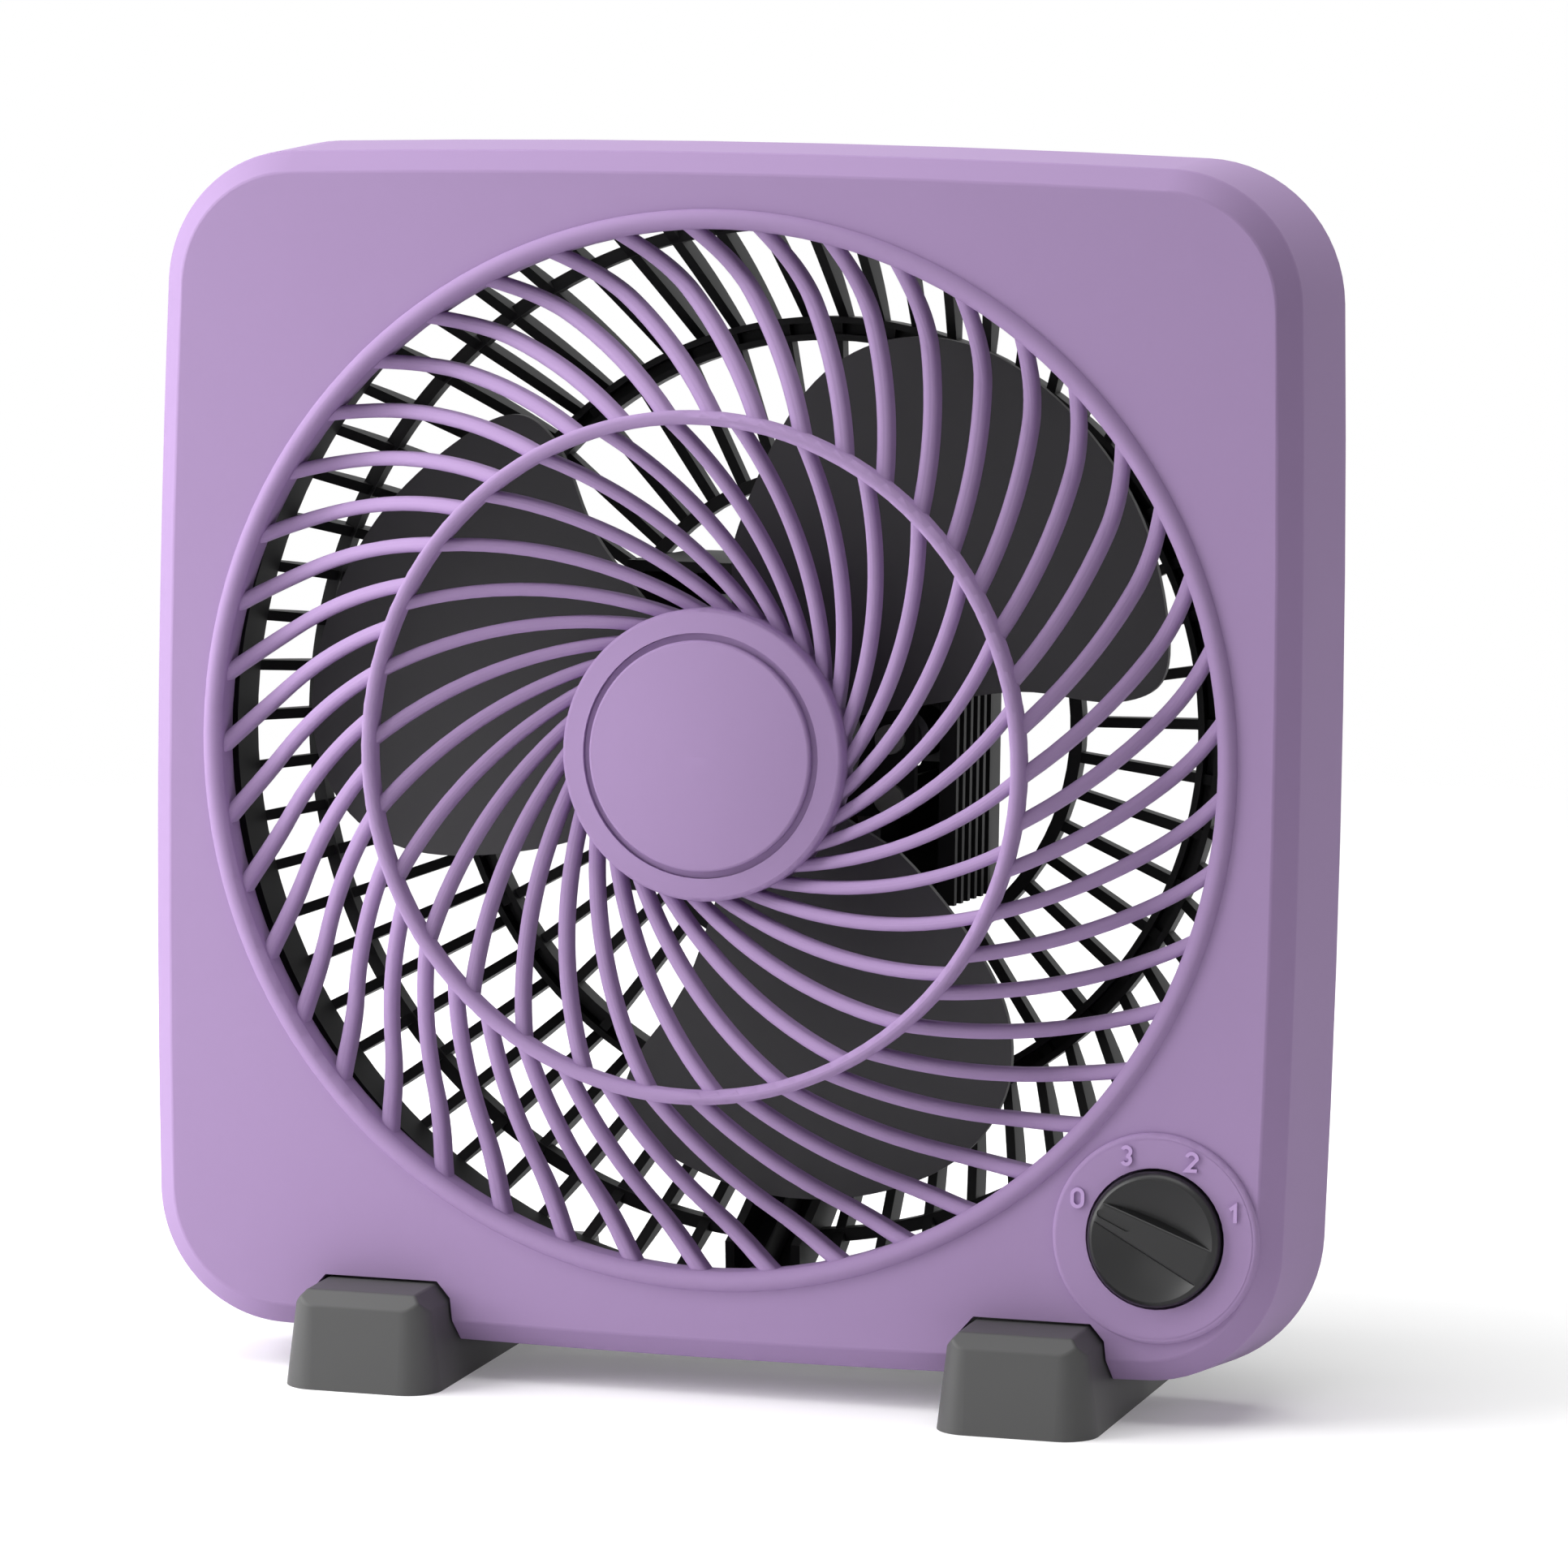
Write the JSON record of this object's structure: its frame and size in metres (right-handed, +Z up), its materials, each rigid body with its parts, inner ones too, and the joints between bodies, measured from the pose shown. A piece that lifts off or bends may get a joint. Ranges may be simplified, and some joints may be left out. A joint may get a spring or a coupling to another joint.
{
  "type": "box fan",
  "caption": "Small square box fan on two feet: round swirl grille, pitched blade impeller on a shaded-pole motor, domed rear grille and a rotary speed knob.",
  "frame": {"origin": "on the floor, under the middle of the feet's length and the middle of the body's width", "axes": "+Z up from the floor, -Y out of the front grille the way the air leaves, +X to the right seen from the front"},
  "size_m": [0.2728, 0.13, 0.2799],
  "materials": {
    "purple_plastic": "satin moulded plastic",
    "black_plastic": "satin moulded plastic",
    "grey_plastic": "fine matte moulded plastic",
    "blade_plastic": "matte moulded plastic",
    "steel": "zinc plated",
    "zinc_casting": "die cast, as cast",
    "lamination": "stacked sheet edges",
    "rotor_metal": "machined",
    "bronze": "sintered",
    "terminal_brass": "plain",
    "copper_winding": "enamelled wire",
    "white_plastic": "moulded",
    "black_rubber": "matte"
  },
  "bodies": {
    "housing": {"front_housing": "purple_plastic", "front_grille": "purple_plastic", "hub_cap": "purple_plastic", "rear_grille": "black_plastic", "housing_screws": "steel", "left_foot": "grey_plastic", "right_foot": "grey_plastic", "foot_screws": "steel", "stator_core": "lamination", "coil_bobbins": "white_plastic", "coil_windings": "copper_winding", "front_bracket": "zinc_casting", "rear_bracket": "zinc_casting", "front_bearing": "bronze", "rear_bearing": "bronze", "bracket_bolts": "steel", "motor_screws": "steel", "rotary_switch": "black_plastic", "switch_terminals": "terminal_brass", "switch_nut": "steel", "motor_lead": "black_rubber", "cord_gland": "black_rubber"},
    "rotor": {"impeller": "blade_plastic", "motor_shaft": "steel", "rotor_core": "rotor_metal", "thrust_washers": "steel"},
    "knob": {"control_knob": "grey_plastic", "switch_shaft": "steel"}
  },
  "joints": [
    {"name": "fan_spin", "type": "hinge", "parent": "housing", "child": "rotor", "pos_m": [0, -0.00006, 0.14391], "axis": [0, 0.9986, -0.0523], "continuous": true},
    {"name": "knob_turn", "type": "hinge", "parent": "housing", "child": "knob", "pos_m": [0.1052, -0.0474, 0.04305], "axis": [0, 0.9986, -0.0523], "range_deg": [0, 135]}
  ]
}
